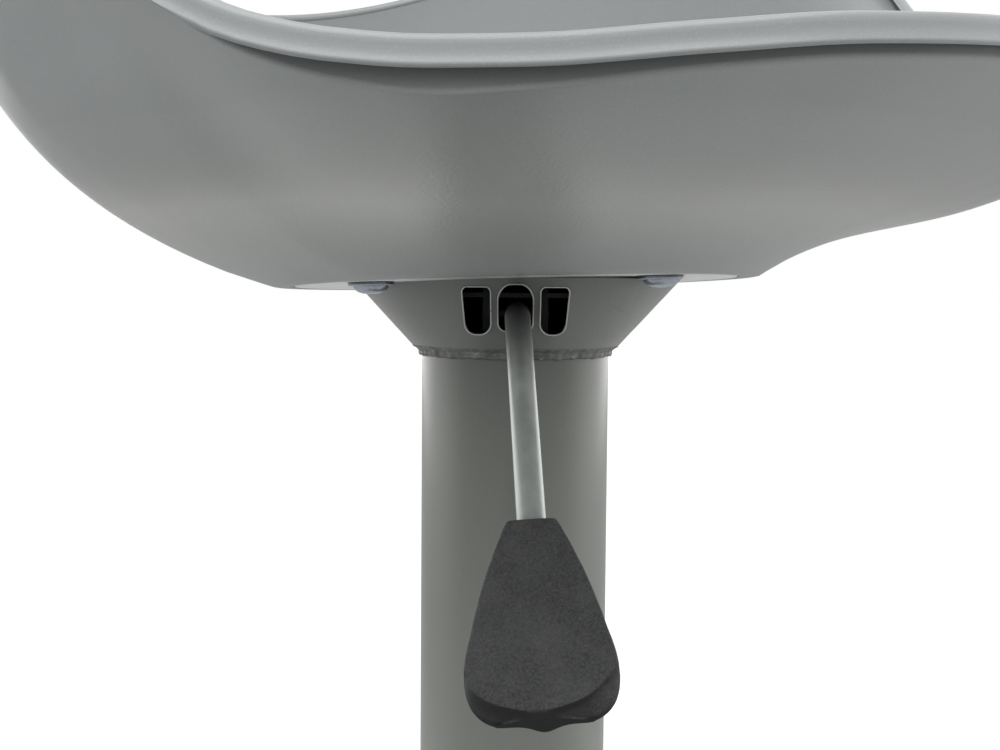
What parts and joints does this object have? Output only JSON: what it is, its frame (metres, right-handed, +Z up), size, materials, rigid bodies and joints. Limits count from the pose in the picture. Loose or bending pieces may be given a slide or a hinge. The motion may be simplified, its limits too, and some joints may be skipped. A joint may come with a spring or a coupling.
{
  "type": "swivel bar stool",
  "caption": "Height-adjustable swivel bar stool: trumpet base, telescoping column with gas spring, release lever, footrest hoop and one-piece tub seat with a slotted low back.",
  "frame": {"origin": "on the column axis, on the floor plane", "axes": "+Z up along the column, -Y toward the seat's front edge, +X toward the sitter's left"},
  "size_m": [0.4099, 0.41, 0.7928],
  "materials": {
    "seat_grey": "metallic grey moulded plastic, fine grain",
    "column_paint": "semi-gloss metallic grey coat",
    "plate_zinc": "bright zinc sheet",
    "weld": "rough weld under the coat",
    "zinc": "bluish zinc plate",
    "lever_steel": "drawn bright steel",
    "paddle_black": "fine-textured black plastic",
    "chrome": "bright chrome",
    "rubber": "matt black",
    "black_plastic": "satin black",
    "white_plastic": "natural acetal",
    "spring_black": "gloss black paint",
    "raw_steel": "oiled steel",
    "bearing_steel": "ground steel",
    "brass": "turned brass"
  },
  "bodies": {
    "base": {"base_shell": "column_paint", "floor_ring": "rubber", "ballast_disc": "raw_steel", "foot_flange": "raw_steel", "foot_bolts": "zinc", "foot_nuts": "zinc", "column_tube": "column_paint", "neck_collar": "black_plastic", "column_end_plate": "raw_steel", "bearing_race_lower": "bearing_steel", "bearing_balls": "bearing_steel", "guide_bush": "white_plastic"},
    "rod_assembly": {"gas_rod": "chrome", "bearing_race_upper": "bearing_steel", "rod_washer": "zinc", "rod_clip": "bearing_steel", "rod_bumper": "rubber", "piston": "bearing_steel"},
    "seat_carrier": {"spring_tube": "spring_black", "spring_gland": "white_plastic", "gland_seal": "rubber", "valve_block": "brass", "mount_plate": "plate_zinc", "mount_cone": "column_paint", "weld_bead": "weld", "sleeve_tube": "column_paint", "sleeve_bush": "black_plastic", "taper_socket": "raw_steel", "lever_bracket": "raw_steel", "pivot_pin": "bearing_steel", "seat_shell": "seat_grey", "seat_screws": "zinc", "seat_inserts": "brass", "footrest_hoop": "chrome", "footrest_collar": "column_paint", "collar_screws": "zinc"},
    "lever": {"lever_rod": "lever_steel", "lever_paddle": "paddle_black"},
    "valve": {"valve_pin": "bearing_steel"}
  },
  "joints": [
    {"name": "seat_swivel", "type": "hinge", "parent": "base", "child": "rod_assembly", "pos_m": [0, 0, 0.04], "axis": [0, 0, 1], "continuous": true},
    {"name": "seat_lift", "type": "slide", "parent": "rod_assembly", "child": "seat_carrier", "axis": [0, 0, 1], "range_m": [0, 0.21]},
    {"name": "lever_lift", "type": "hinge", "parent": "seat_carrier", "child": "lever", "pos_m": [-0.01598, -0.01513, 0.5504], "axis": [-0.7071, 0.7071, 0], "range_deg": [0, 5.5], "stiffness_Nm_per_rad": 2, "springref_deg": -11.46},
    {"name": "valve_press", "type": "slide", "parent": "seat_carrier", "child": "valve", "axis": [0, 0, -1], "range_m": [0, 0.0022]}
  ],
  "couplings": [
    {"joint": "valve_press", "follows": "lever_lift", "m_per_rad": 0.022}
  ]
}
